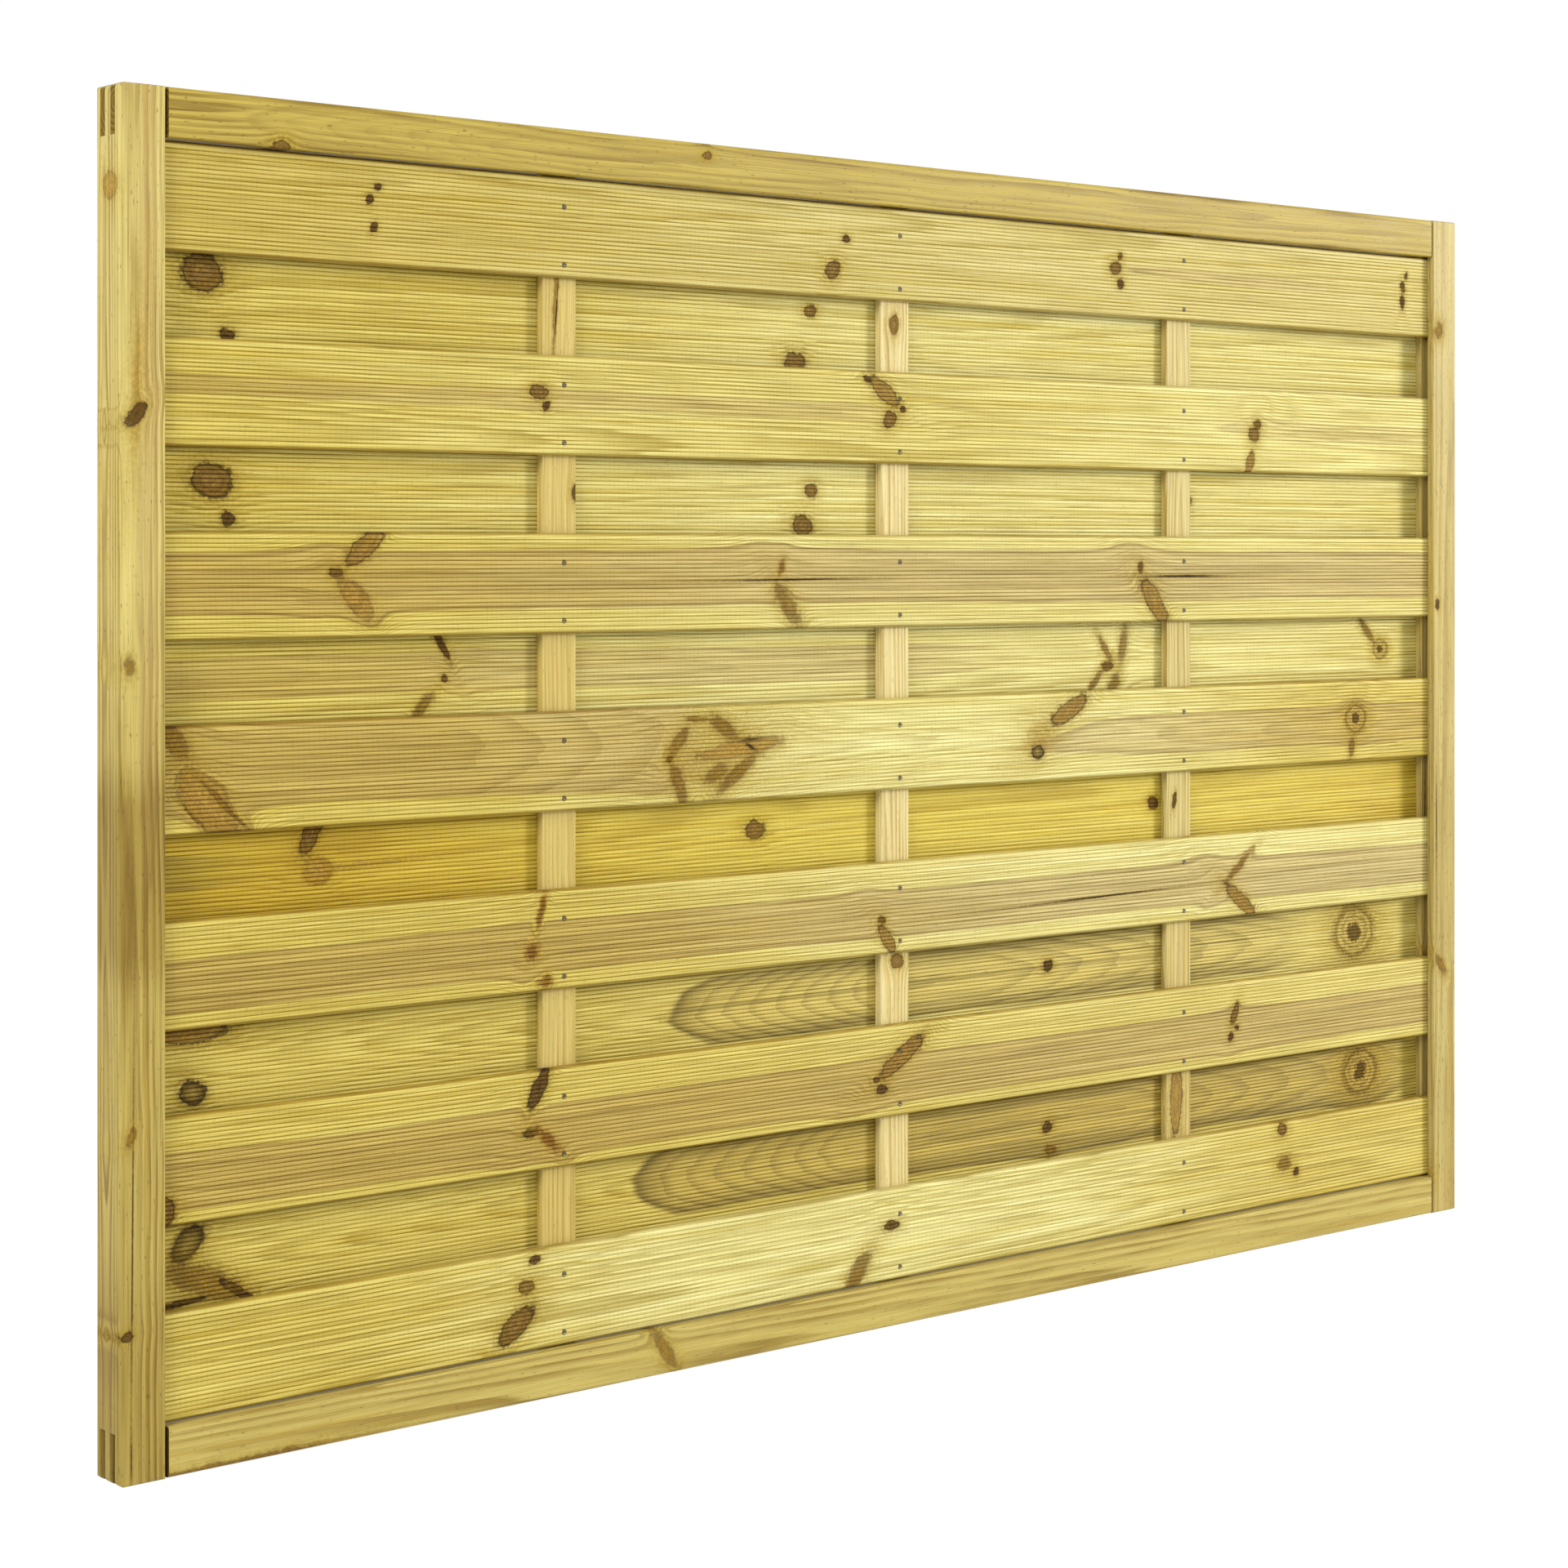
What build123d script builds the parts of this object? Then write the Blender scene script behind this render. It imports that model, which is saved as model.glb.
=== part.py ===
# Privacy fence panel: ribbed boards set alternately in front of and behind upright
# battens, inside a comb-jointed frame.
# Millimetres. +Z is up, the front faces -Y, X and Y are centred, and Z = 0 is the bottom.
import os
from build123d import *

os.makedirs("parts", exist_ok=True)

# Driving dimensions of the whole panel
panel_width = 1800.0
panel_height = 1200.0
front_board_count = 7
batten_count = 3

# Frame: two stiles and two rails of the same section
frame_face = 44.0          # width of a stile or rail seen from the front
frame_wall = 8.5           # wood left in front of and behind the grooves
groove_width = 9.0         # board grooves, and the slots of the comb joints
tongue = 9.0               # wood between the two grooves
groove_depth = 12.0        # how far the board grooves go into a stile
edge_round = 4.5           # rounding along the panel's outer edges
inner_round = 2.0          # rounding along the frame's inner edges
corner_round = 5.0         # rounding of the panel's four corners in front view
end_ease = 2.0             # rounding of a stile's ends in side view

# Boards and battens
board_width = 95.0
rib_pitch = 3.92
rib_depth = 0.9
rib_valley = 1.5           # width of the V between two ribs
rib_margin = 6.0           # least plain strip above and below the ribs
board_round = 4.0          # rounding of a board's front long edges
board_ease = 1.0           # chamfer on its back long edges
batten_width = 40.0
batten_ease = 1.0
batten_socket = 24.0       # depth of the groove in the rails that takes the batten ends

# Fixings
nail_diameter = 2.8
nail_bite = 7.0            # how far a nail goes into its batten
nail_top_share = 0.295     # upper nail below the board's top edge, as a share of its width
nail_bottom_share = 0.126  # lower nail above the board's bottom edge, as a share of its width
rail_nail_inset = 15.0     # rail nails, measured from the rail's inner edge
staple_crown = 5.8
staple_wire = 1.2
staple_leg = 15.0
staple_tilt = 30.0         # degrees off upright

# Clearances
board_play = 0.4           # board thickness below the groove width
board_end_play = 2.0       # board end to groove bottom
board_rail_gap = 1.5       # first and last front boards to the rails
joint_play = 0.1           # each cheek of a tenon, and each face of a batten in its socket
shoulder_gap = 3.0         # rail shoulder to stile
batten_end_play = 1.5      # batten top to the bottom of its socket
fixing_sink = 0.3          # heads and crowns below the surface
top_tenon_inset = 0.6      # top tenon ends inside the stile's outer face
bottom_tenon_inset = 4.0   # bottom tenon ends inside the stile's outer face

# Sizes that follow from the ones above
frame_depth = 2 * frame_wall + 2 * groove_width + tongue
half_depth = frame_depth / 2
half_tongue = tongue / 2
groove_middle = half_tongue + groove_width / 2
inner_width = panel_width - 2 * frame_face
inner_height = panel_height - 2 * frame_face
shoulder_x = inner_width / 2 - shoulder_gap
board_thickness = groove_width - board_play
board_length = inner_width + 2 * (groove_depth - board_end_play)
board_pitch = (inner_height - 2 * board_rail_gap - board_width) / (front_board_count - 1)
top_board_z = panel_height - frame_face - board_rail_gap - board_width / 2
front_z = [top_board_z - i * board_pitch for i in range(front_board_count)]
back_z = [z - board_pitch / 2 for z in front_z[:-1]]
batten_pitch = inner_width / (batten_count + 1)
batten_x = [(i - (batten_count - 1) / 2) * batten_pitch for i in range(batten_count)]
batten_bottom = frame_face - batten_socket
batten_top = panel_height - batten_bottom - batten_end_play
upper_nail = board_width * (0.5 - nail_top_share)
lower_nail = board_width * (nail_bottom_share - 0.5)


# The panel's outline in front view, as a block through its whole depth.
def outline_block():
    outline = RectangleRounded(panel_width, panel_height, corner_round)
    face = Plane.XZ * Pos(0, panel_height / 2) * outline
    return extrude(face, frame_depth, both=True)


# A nail along Y, from the surface it is driven into to its point. It is drawn with six flats.
def nail(x, z, y_head, y_point):
    face = Plane.XZ.offset(-y_head) * Pos(x, z) * RegularPolygon(nail_diameter / 2, 6)
    return extrude(face, y_point - y_head, dir=(0, 1, 0))


# A staple: a crown with two legs, driven straight back from the front face and leaning in front view.
def staple(x, z, tilt):
    loop = Rectangle(staple_crown, staple_leg, align=(Align.CENTER, Align.MIN))
    gap = Pos(0, staple_wire) * Rectangle(
        staple_crown - 2 * staple_wire, staple_leg, align=(Align.CENTER, Align.MIN)
    )
    blank = extrude(Plane.XY * (loop - gap), staple_wire / 2, both=True)
    return Pos(x, fixing_sink - half_depth, z) * Rot(0, tilt, 0) * blank


# The section of a frame member. Its outer edge is towards +x and is rounded more than the inner one.
def frame_section():
    section = Rectangle(frame_face, frame_depth)
    section = fillet(section.vertices().group_by(Axis.X)[-1], edge_round)
    return fillet(section.vertices().group_by(Axis.X)[0], inner_round)


# A stile, plain on its outer face, with two board grooves inside and two open slots at each end.
def stile(side):
    middle_x = side * (panel_width - frame_face) / 2
    plan = Pos(middle_x, 0) * Rot(0, 0, 90 - 90 * side) * frame_section()
    side_view = Plane.YZ * Pos(0, panel_height / 2) * RectangleRounded(
        frame_depth, panel_height, end_ease
    )
    body = extrude(plan, panel_height)
    body = body & extrude(side_view, panel_width, both=True) & outline_block()
    groove_x = side * (inner_width / 2 + groove_depth / 2)
    for y in (-groove_middle, groove_middle):
        body -= Pos(groove_x, y, panel_height / 2) * Box(groove_depth, groove_width, panel_height)
        for z in (frame_face / 2, panel_height - frame_face / 2):
            body -= Pos(middle_x, y, z) * Box(frame_face, groove_width, frame_face)
    return body


# A rail with a socket groove along its inner edge and twin tenons at both ends.
def rail(middle_z, inner_side, tenon_inset):
    socket_width = tongue + 2 * joint_play
    section = Rot(0, 0, -90 * inner_side) * frame_section()
    socket_z = inner_side * (frame_face - batten_socket) / 2
    section -= Pos(0, socket_z) * Rectangle(socket_width, batten_socket)
    body = extrude(Plane.YZ * Pos(0, middle_z) * section, shoulder_x, both=True)
    tenon_end = panel_width / 2 - tenon_inset
    tenon_length = tenon_end - shoulder_x
    tenon_x = (tenon_end + shoulder_x) / 2
    tenon = Box(tenon_length, groove_width - 2 * joint_play, frame_face)
    for side in (-1, 1):
        for y in (-groove_middle, groove_middle):
            body += Pos(side * tenon_x, y, middle_z) * tenon
    return body & outline_block()


# One board along X, ribbed towards -Y. Its middle is at the origin and its plain back at y = 0.
# Its front long edges are quarter rounds drawn with two flats.
def board():
    rib_count = int((board_width - 2 * rib_margin) / rib_pitch)
    half = board_width / 2
    front = -board_thickness
    corner = board_round * (1 - 0.5**0.5)
    points = [(0, board_ease - half), (-board_ease, -half), (front + board_round, -half)]
    points += [(front + corner, corner - half), (front, board_round - half)]
    for i in range(rib_count + 1):
        z = (i - rib_count / 2) * rib_pitch
        points += [(front, z - rib_valley / 2), (front + rib_depth, z), (front, z + rib_valley / 2)]
    points += [(front, half - board_round), (front + corner, half - corner)]
    points += [(front + board_round, half), (-board_ease, half), (0, half - board_ease)]
    section = make_face(Polyline(*points, close=True))
    return extrude(Plane.YZ * section, board_length / 2, both=True)


# An upright batten with eased long edges.
def batten(x):
    plan = Rectangle(batten_width, tongue)
    plan = chamfer(plan.vertices(), batten_ease)
    return extrude(Pos(x, 0, batten_bottom) * plan, batten_top - batten_bottom)


# Nails: front boards from the front, back boards from behind, rails from the front
front_nails = []
for z in front_z:
    for x in batten_x:
        for rise in (upper_nail, lower_nail):
            head_y = -half_tongue - board_thickness + fixing_sink
            front_nails.append(nail(x, z + rise, head_y, -half_tongue + nail_bite))

back_nails = []
for z in back_z:
    for x in batten_x:
        head_y = half_tongue + board_thickness - fixing_sink
        back_nails.append(nail(x, z, half_tongue - nail_bite, head_y))

rail_nails = []
for x in batten_x:
    for z in (frame_face - rail_nail_inset, panel_height - frame_face + rail_nail_inset):
        rail_nails.append(nail(x, z, fixing_sink - half_depth, -half_tongue + nail_bite))

# Staples: three in each corner of the frame, placed by fractions of the frame's face
staple_places = [(0.80, 0.35), (0.52, 0.42), (0.24, 0.36)]
staples = []
for side in (-1, 1):
    for across, along in staple_places:
        x = side * (panel_width / 2 - across * frame_face)
        for z in (along * frame_face, panel_height - along * frame_face):
            staples.append(staple(x, z, staple_tilt - 90))

# Frame, bored for its fixings
left_staples = [s for s in staples if s.center().X < 0]
right_staples = [s for s in staples if s.center().X > 0]
low_staples = [s for s in staples if s.center().Z < panel_height / 2]
high_staples = [s for s in staples if s.center().Z > panel_height / 2]
low_rail_nails = [n for n in rail_nails if n.center().Z < panel_height / 2]
high_rail_nails = [n for n in rail_nails if n.center().Z > panel_height / 2]
pieces = {
    "left_stile": stile(-1) - left_staples,
    "right_stile": stile(1) - right_staples,
    "top_rail": rail(panel_height - frame_face / 2, -1, top_tenon_inset)
    - high_staples
    - high_rail_nails,
    "bottom_rail": rail(frame_face / 2, 1, bottom_tenon_inset) - low_staples - low_rail_nails,
}

# Boards: one pattern for the front and one for the back, bored and then set at each height
blank_board = board()
middle_front = len(front_z) // 2
front_pattern = Pos(0, -half_tongue, front_z[middle_front]) * blank_board
here = [n for n in front_nails if abs(n.center().Z - front_z[middle_front]) < board_width / 2]
front_pattern = front_pattern - here
for i, z in enumerate(front_z):
    pieces[f"front_board_{i + 1}"] = Pos(0, 0, z - front_z[middle_front]) * front_pattern

middle_back = len(back_z) // 2
back_pattern = Pos(0, half_tongue + board_thickness, back_z[middle_back]) * blank_board
here = [n for n in back_nails if abs(n.center().Z - back_z[middle_back]) < board_width / 2]
back_pattern = back_pattern - here
for i, z in enumerate(back_z):
    pieces[f"back_board_{i + 1}"] = Pos(0, 0, z - back_z[middle_back]) * back_pattern

# Battens, bored for every nail that bites into them
all_nails = front_nails + back_nails + rail_nails
batten_names = ["left_batten", "middle_batten", "right_batten"]
for i, x in enumerate(batten_x):
    name = batten_names[i] if batten_count == len(batten_names) else f"batten_{i + 1}"
    pieces[name] = batten(x) - [n for n in all_nails if abs(n.center().X - x) < batten_width / 2]

pieces["front_board_nails"] = Compound(children=front_nails)
pieces["back_board_nails"] = Compound(children=back_nails)
pieces["rail_nails"] = Compound(children=rail_nails)
pieces["corner_staples"] = Compound(children=staples)

for name, piece in pieces.items():
    export_step(piece, f"parts/{name}.step")
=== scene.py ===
import bpy
import math
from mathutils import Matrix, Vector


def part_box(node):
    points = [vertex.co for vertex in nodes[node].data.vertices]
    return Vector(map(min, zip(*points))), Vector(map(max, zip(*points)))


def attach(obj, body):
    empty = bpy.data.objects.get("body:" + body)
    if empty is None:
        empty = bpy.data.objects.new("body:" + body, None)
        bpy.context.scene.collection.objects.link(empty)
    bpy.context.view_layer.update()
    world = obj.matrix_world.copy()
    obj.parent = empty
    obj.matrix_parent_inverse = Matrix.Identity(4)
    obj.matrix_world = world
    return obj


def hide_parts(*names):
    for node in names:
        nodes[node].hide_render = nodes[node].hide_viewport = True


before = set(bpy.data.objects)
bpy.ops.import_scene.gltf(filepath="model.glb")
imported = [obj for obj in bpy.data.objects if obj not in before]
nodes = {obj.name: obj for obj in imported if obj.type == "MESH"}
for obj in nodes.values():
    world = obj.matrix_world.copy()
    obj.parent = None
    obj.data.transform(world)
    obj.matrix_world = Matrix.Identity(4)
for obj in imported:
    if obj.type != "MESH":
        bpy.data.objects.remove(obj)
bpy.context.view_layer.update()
frontBoards = [f"front_board_{i}" for i in range(1, 8)]
backBoards = [f"back_board_{i}" for i in range(1, 7)]
print("frame loaded:", len(nodes), "nodes")


def tint(red, green, blue):
    # screen colour 0 to 255 as the linear colour that a shader wants
    parts = [c / 255 for c in (red, green, blue)]
    return [c / 12.92 if c <= 0.04045 else ((c + 0.055) / 1.055) ** 2.4 for c in parts] + [1.0]


def pieceName(node):
    first, *rest = node.split("_")
    return first + "".join(word.capitalize() for word in rest)


class Wire:
    # one shader socket, so that node maths reads as plain sums
    def __init__(self, tree, socket=None):
        self.tree = tree
        self.socket = socket

    def add(self, kind, settings=None, sockets=None, out=0):
        node = self.tree.nodes.new(kind)
        for key, value in (settings or {}).items():
            if key == "stops":
                ramp = node.color_ramp
                while len(ramp.elements) < len(value):
                    ramp.elements.new(1.0)
                for stop, (place, colour) in zip(ramp.elements, value):
                    stop.position = place
                    stop.color = colour
            else:
                setattr(node, key, value)
        for key, value in (sockets or {}).items():
            if isinstance(value, Wire):
                self.tree.links.new(value.socket, node.inputs[key])
            else:
                node.inputs[key].default_value = value
        return Wire(self.tree, node.outputs[out] if len(node.outputs) else None)

    def outs(self):
        return [Wire(self.tree, out) for out in self.socket.node.outputs]

    def maths(self, operation, first, second=0.0):
        return self.add("ShaderNodeMath", {"operation": operation}, {0: first, 1: second})

    def __add__(self, other):
        return self.maths("ADD", self, other)

    def __radd__(self, other):
        return self.maths("ADD", other, self)

    def __sub__(self, other):
        return self.maths("SUBTRACT", self, other)

    def __rsub__(self, other):
        return self.maths("SUBTRACT", other, self)

    def __mul__(self, other):
        return self.maths("MULTIPLY", self, other)

    def __rmul__(self, other):
        return self.maths("MULTIPLY", other, self)

    def __truediv__(self, other):
        return self.maths("DIVIDE", self, other)

    def __rtruediv__(self, other):
        return self.maths("DIVIDE", other, self)

    def __abs__(self):
        return self.maths("ABSOLUTE", self)

    def atLeast(self, other):
        return self.maths("MAXIMUM", self, other)

    def atMost(self, other):
        return self.maths("MINIMUM", self, other)

    def ease(self, start, end, low=0.0, high=1.0):
        # smooth step from low at start to high at end
        return self.add("ShaderNodeMapRange", {"interpolation_type": "SMOOTHSTEP"},
                        {0: self, 1: start, 2: end, 3: low, 4: high})

    def root(self):
        return self.maths("SQRT", self)

    def split(self):
        return self.add("ShaderNodeSeparateXYZ", None, {0: self}).outs()

    def vector(self, operation, second, third=None, out=0):
        sockets = {0: self, 1: second} if third is None else {0: self, 1: second, 2: third}
        return self.add("ShaderNodeVectorMath", {"operation": operation}, sockets, out)

    def length(self):
        return self.add("ShaderNodeVectorMath", {"operation": "LENGTH"}, {0: self}, 1)

    def noise(self, detail=2.0, rough=0.5, out=0):
        return self.add("ShaderNodeTexNoise", None,
                        {"Vector": self, "Scale": 1.0, "Detail": detail, "Roughness": rough}, out)

    def mix(self, first, second):
        # a blend of two colours by this value
        return self.add("ShaderNodeMix", {"data_type": "RGBA"}, {0: self, 6: first, 7: second}, 2)

    def over(self, cover, colour, blend="MIX"):
        # lays a colour over this one
        return self.add("ShaderNodeMix", {"data_type": "RGBA", "blend_type": blend},
                        {0: cover, 6: self, 7: colour}, 2)


# wood shared by all pieces, in millimetres: noises as length and width along the grain
grainCut = {
    "slow": (900.0, 420.0), "quick": (150.0, 14.0), "sway": (190.0, 90.0), "fine": (60.0, 1.1),
    "fleck": (8.0, 1.3), "thread": (560.0, 7.0), "hair": (300.0, 2.1), "rough": 0.09, "crumb": 0.3,
    "bend": 6.0, "sideDeep": 6.0, "chatterDrift": 40.0, "chatterStep": 1.15, "fleckColour": (84, 60, 26),
    "endDark": 0.72,
}
# a dark ring round a nail, where start and end are radii squared
nailRingCut = {"start": 3.0, "end": 11.0, "cover": 0.95, "colour": (48, 34, 12)}
paintedSheen = (1.24, 1.44, 2.9, 1.0)  # painted sheen: what a stretch paler towards the right, standing in for a lamp's highlight, multiplies the colour by
knotReach = 3.0  # the last stop of every kind of knot

# knots by kind: distance from the middle, where 1 is the knot's own edge, with colour and cover
knotKinds = {
    "sound": [(0.0, (110, 82, 34), 0.95), (0.3, (140, 109, 50), 0.95), (0.55, (110, 82, 30), 0.95),
              (0.8, (130, 99, 34), 0.95), (0.97, (58, 38, 6), 0.95), (1.12, (138, 112, 20), 0.5),
              (1.6, (170, 143, 34), 0.25), (3.0, (180, 153, 46), 0.0)],
    "dark": [(0.0, (76, 52, 14), 1.0), (0.5, (98, 70, 20), 1.0), (0.85, (76, 52, 10), 0.95),
             (0.98, (42, 26, 4), 0.95), (1.15, (130, 102, 20), 0.5), (1.7, (160, 132, 30), 0.2),
             (3.0, (180, 153, 46), 0.0)],
    "blade": [(0.0, (160, 130, 62), 0.9), (0.45, (140, 108, 42), 0.9), (0.8, (152, 120, 52), 0.9),
              (0.96, (64, 44, 12), 0.9), (1.1, (144, 116, 28), 0.45), (1.6, (170, 143, 40), 0.15),
              (3.0, (180, 153, 46), 0.0)],
    "tan": [(0.0, (174, 140, 62), 0.8), (0.6, (164, 129, 52), 0.75), (0.92, (150, 114, 38), 0.7),
            (1.02, (96, 70, 18), 0.5), (1.15, (156, 126, 34), 0.3), (1.6, (172, 145, 42), 0.1),
            (3.0, (180, 153, 46), 0.0)],
    "flame": [(0.0, (138, 106, 26), 0.85), (0.5, (122, 90, 18), 0.85), (0.9, (106, 76, 14), 0.7),
              (1.2, (144, 116, 24), 0.4), (1.9, (168, 141, 36), 0.15), (3.0, (180, 153, 46), 0.0)],
    "dash": [(0.0, (122, 80, 16), 0.9), (0.6, (128, 86, 18), 0.85), (1.0, (146, 106, 24), 0.5),
             (1.5, (170, 140, 34), 0.15), (3.0, (180, 153, 46), 0.0)],
    "ring": [(0.0, (98, 74, 10), 0.95), (0.42, (88, 64, 6), 0.95), (0.52, (150, 122, 40), 0.7),
             (0.64, (190, 164, 84), 0.6), (0.8, (132, 104, 26), 0.75), (0.95, (184, 158, 74), 0.5),
             (1.15, (112, 88, 12), 0.8), (1.6, (160, 132, 30), 0.35), (3.0, (180, 153, 46), 0.0)],
    "loose": [(0.0, (146, 124, 60), 0.85), (0.5, (112, 90, 34), 0.9), (0.8, (76, 56, 12), 0.95),
              (1.0, (36, 23, 4), 0.95), (1.15, (108, 84, 16), 0.5), (1.7, (160, 132, 32), 0.2),
              (3.0, (180, 153, 46), 0.0)],
    "stain": [(0.0, (168, 138, 50), 0.6), (0.7, (166, 136, 48), 0.5), (1.1, (168, 138, 50), 0.25),
              (3.0, (180, 153, 46), 0.0)],
    "split": [(0.0, (34, 20, 4), 1.0), (0.6, (54, 36, 10), 0.9), (1.1, (110, 84, 30), 0.45),
              (3.0, (170, 140, 60), 0.0)],
}


def woodMaterial(name, wood, look):
    material = bpy.data.materials.new(name)
    material.use_nodes = True
    tree = material.node_tree
    tree.nodes.clear()
    wood = dict(wood, **look.get("tones", {}))
    spot = Wire(tree).add("ShaderNodeTexCoord", None, None, "Object")
    place = spot.vector("MULTIPLY", (1000.0, 1000.0, 1000.0))  # millimetres from here on
    x, y, z = place.split()
    level = wood["grain"] == "x"
    along, across = (x, z) if level else (z, x)
    seed = look["seed"]
    drawn = place.vector("ADD", (seed * 400.0, seed * 70.0, seed * 90.0))

    def grainNoise(length, width, detail=2.0, out=0):
        # features about so long and so wide, drawn out along the grain
        size = (1 / length, 1 / width, 1 / width) if level else (1 / width, 1 / width, 1 / length)
        return drawn.vector("MULTIPLY", size).noise(detail, 0.55, out)

    slow = grainNoise(*grainCut["slow"], 1.0, 1).split()
    quick = grainNoise(*grainCut["quick"], 2.0, 1).split()
    rough = drawn.vector("MULTIPLY", [grainCut["rough"]] * 3).noise(2.0, 0.6, 1)
    mottle = rough.split()[2]
    crumb = drawn.vector("MULTIPLY", [grainCut["crumb"]] * 3).noise(3.0, 0.65)
    sway = grainNoise(*grainCut["sway"], 1.0)
    bend = grainCut["bend"]
    bent = rough.vector("MULTIPLY_ADD", (bend, 0.0, bend),
                        place.vector("SUBTRACT", (bend / 2, 0.0, bend / 2)))

    # the grain parts round each knot, as water does round a stone
    flow = across - look["middle"]
    rounds = []
    for knotX, knotZ, halfLong, halfShort, lean, kind in look["knots"]:
        middle = (knotX, 0.0, look["level"] + knotZ)
        local = bent.add("ShaderNodeMapping", {"vector_type": "TEXTURE"},
                         {"Vector": place if kind == "split" else bent, "Location": middle,
                          "Rotation": (0.0, math.radians(-lean), 0.0), "Scale": (halfLong, 1e6, halfShort)})
        radius = local.length()
        rounds.append((radius, kind))
        if kind not in ("split", "stain"):
            flow = flow - (across - middle[2 if level else 0]) / (radius * radius).atLeast(1.0)

    for sideX, sideY, sideZ, halfWide, halfTall, kind in look.get("sideKnots", []):
        local = bent.add("ShaderNodeMapping", {"vector_type": "TEXTURE"},
                         {"Vector": bent, "Location": (sideX, sideY, sideZ),
                          "Scale": (grainCut["sideDeep"], halfWide, halfTall)})
        rounds.append((local.length(), kind))

    # growth rings about a pith that lies behind the face and drifts along the piece
    wander = (slow[0] - 0.5) * wood["wander"] + (sway - 0.5) * wood["sway"]
    pithAcross, pithDepth, drift = look["pith"]
    ringAcross = flow + wander - pithAcross
    ringDeep = pithDepth - (y - look["face"]) + along * drift + (slow[1] - 0.5) * 12.0
    ring = (ringAcross * ringAcross + ringDeep * ringDeep).root()
    ring = ring / wood["ringStep"] + (quick[0] - 0.5) * wood["ringNoise"]
    cycle = ring.maths("FRACT", ring)
    late = cycle.ease(0.2, 0.85) * cycle.ease(0.9, 1.0, 1.0, 0.0) * quick[1].ease(0.3, 0.65, 0.3, 1.0)
    colour = (late * wood["ringShow"]).mix(tint(*wood["early"]), tint(*wood["late"]))

    # long streaks that follow the bent grain
    length, width = grainCut["thread"]
    thread = spot.add("ShaderNodeCombineXYZ", None, {0: along / length + seed, 1: flow / width,
                                                     2: seed * 7.0})
    streak = thread.noise(4.0, 0.65)
    colour = colour.over(streak.ease(0.50, 0.70, 0.0, wood["streak"]), tint(*wood["golden"]))
    colour = colour.over(streak.ease(0.48, 0.30, 0.0, wood["streak"]), tint(*wood["pale"]))

    length, width = grainCut["hair"]
    hair = spot.add("ShaderNodeCombineXYZ", None, {0: along / length, 1: flow / width, 2: seed * 3.0})
    hair = hair.noise(2.0, 0.6)
    colour = colour.over(hair.ease(0.54, 0.72, 0.0, wood["hair"]), tint(*wood["late"]))

    # heartwood tongues: middle, half width, from, to, length of the tips, cover
    for middle, half, start, end, tip, cover in look["heart"]:
        run = (along - start).atMost((end - along) / 2.0) / tip
        off = (flow + wander * 0.5 - middle) / half
        bulge = (quick[2] - 0.5) * 0.45 - off * off
        depth = run.atMost(1.0) + bulge
        inside = depth.ease(-0.1, 0.14, 0.0, cover) * ((end - along) / tip).ease(0.2, 2.6)
        arc = (run.atMost(5.0) + bulge * 1.3) * wood["arcs"]
        nest = arc.maths("FRACT", arc)
        edge = depth.ease(0.05, wood["rimReach"], 1.0, 0.0) * wood["rim"]
        rim = (edge + nest.ease(0.55, 0.0) * 0.4) * inside
        colour = colour.over(inside, tint(*wood["heart"])).over(rim, tint(*wood["heartRim"]))
        colour = colour.over(hair.ease(0.48, 0.68, 0.0, 0.8) * inside, tint(*wood["heartRim"]))

    # darker clouds along the piece: middle, half length, cover
    for middle, half, cover in look.get("clouds", []):
        away = abs(along - middle) / half + (slow[2] - 0.5) * 1.6 + (quick[2] - 0.5) * 0.6
        colour = colour.over(away.ease(0.3, 1.1, cover, 0.0), tint(*wood["cloud"]), "MULTIPLY")

    # painted sheen: stretches paler towards the right stand in for a lamp's highlight; middle, half length,
    # cover
    sheenCover = 0.0
    for middle, half, cover in look.get("paintedSheen", []):
        away = abs(along - middle) / half + (quick[0] - 0.5) * 0.5
        sheenCover = away.ease(0.35, 1.05, cover, 0.0) + sheenCover
    if "paintedSheen" in look:
        colour = colour.over(sheenCover, paintedSheen, "MULTIPLY")

    fine = grainNoise(*grainCut["fine"], 2.0)
    colour = colour.over(1.0, fine.mix((0.66, 0.64, 0.54, 1.0), (1.28, 1.28, 1.34, 1.0)), "MULTIPLY")
    if wood["chatter"] > 0.0:
        cutter = (x + slow[2] * grainCut["chatterDrift"]) * grainCut["chatterStep"]
        wave = cutter.maths("SINE", cutter) * 0.5 + 0.5
        colour = colour.over(wave * mottle.ease(0.35, 0.6, 0.0, wood["chatter"]), (0.8, 0.78, 0.6, 1.0),
                             "MULTIPLY")
    fleck = grainNoise(*grainCut["fleck"], 0.0).ease(0.74, 0.80, 0.0, wood["fleck"])
    colour = colour.over(fleck, tint(*grainCut["fleckColour"]))

    knotty = 0.0
    for radius, kind in rounds:
        reach = (radius + (mottle - 0.5) * 0.5 + (crumb - 0.5) * 0.5) / knotReach
        stops = [(edge / knotReach, tint(*rgb)[:3] + [cover]) for edge, rgb, cover in knotKinds[kind]]
        ramp = reach.add("ShaderNodeValToRGB", {"stops": stops}, {0: reach})
        cover = ramp.outs()[1] * crumb.ease(0.25, 0.5, 0.6, 1.0)
        colour = colour.over(cover, ramp)
        knotty = cover.atLeast(knotty)
    if rounds:
        colour = colour.over(knotty, crumb.ease(0.3, 0.7).mix((0.55, 0.5, 0.4, 1.0), (1.3, 1.26, 1.1, 1.0)),
                             "MULTIPLY")
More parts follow.
